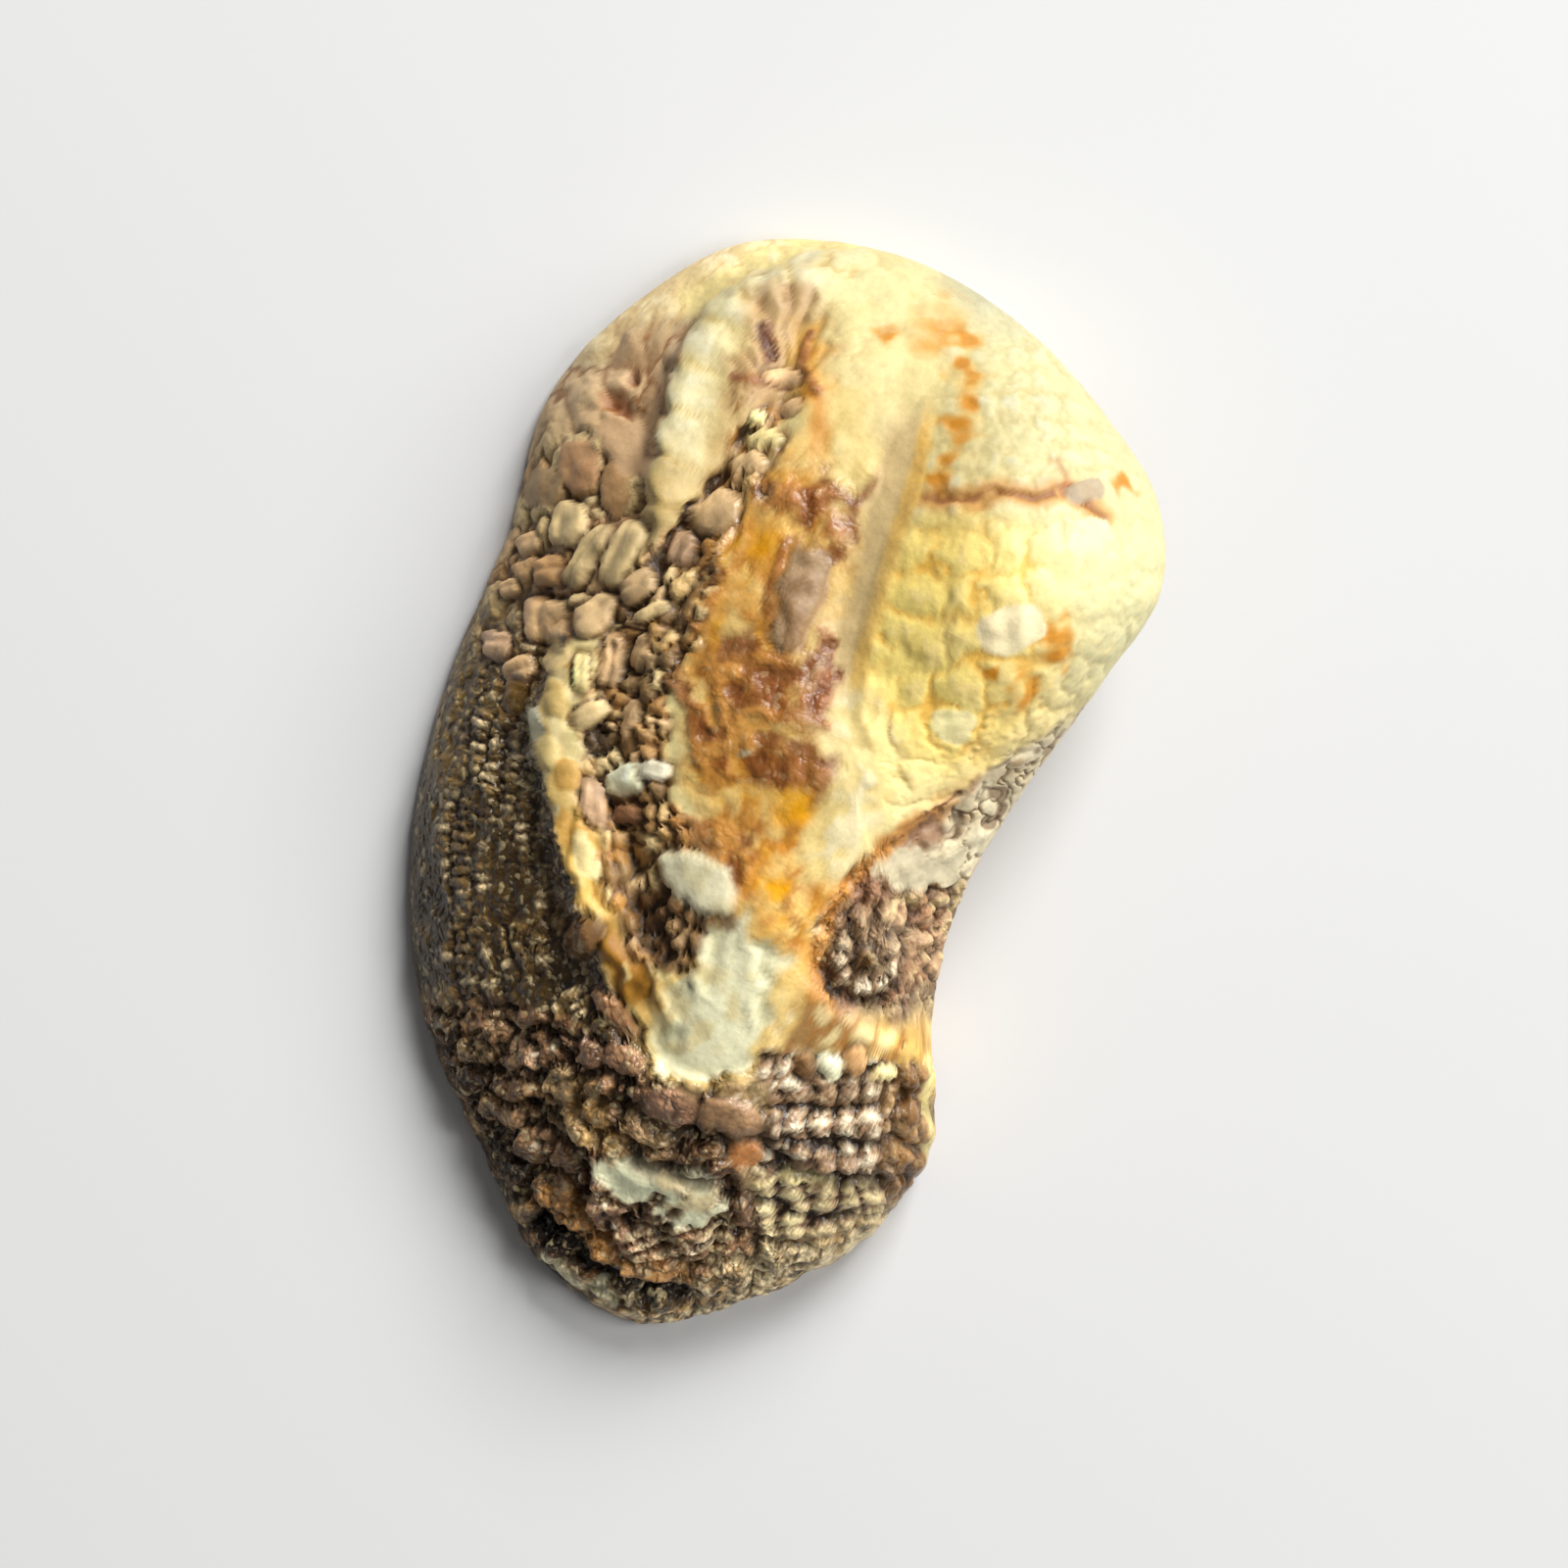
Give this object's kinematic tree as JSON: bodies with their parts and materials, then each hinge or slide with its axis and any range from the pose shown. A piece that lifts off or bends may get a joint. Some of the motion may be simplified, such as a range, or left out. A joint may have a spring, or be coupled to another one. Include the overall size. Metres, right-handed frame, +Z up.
{
  "type": "ark clam shell",
  "caption": "Worn half shell of an ark clam lying dome up, with a swollen beak, beaded ribs, growth ridges, a toothed hinge plate and a hollow inside",
  "frame": {"origin": "middle of the shell's plan, on the flat face that it rests on", "axes": "+Y towards the front end of the shell, +X towards the hinge, +Z up through the dome"},
  "size_m": [0.0408, 0.068, 0.0175],
  "materials": {
    "shell": "satin"
  },
  "bodies": {
    "root": {"valve": "shell"}
  },
  "joints": []
}
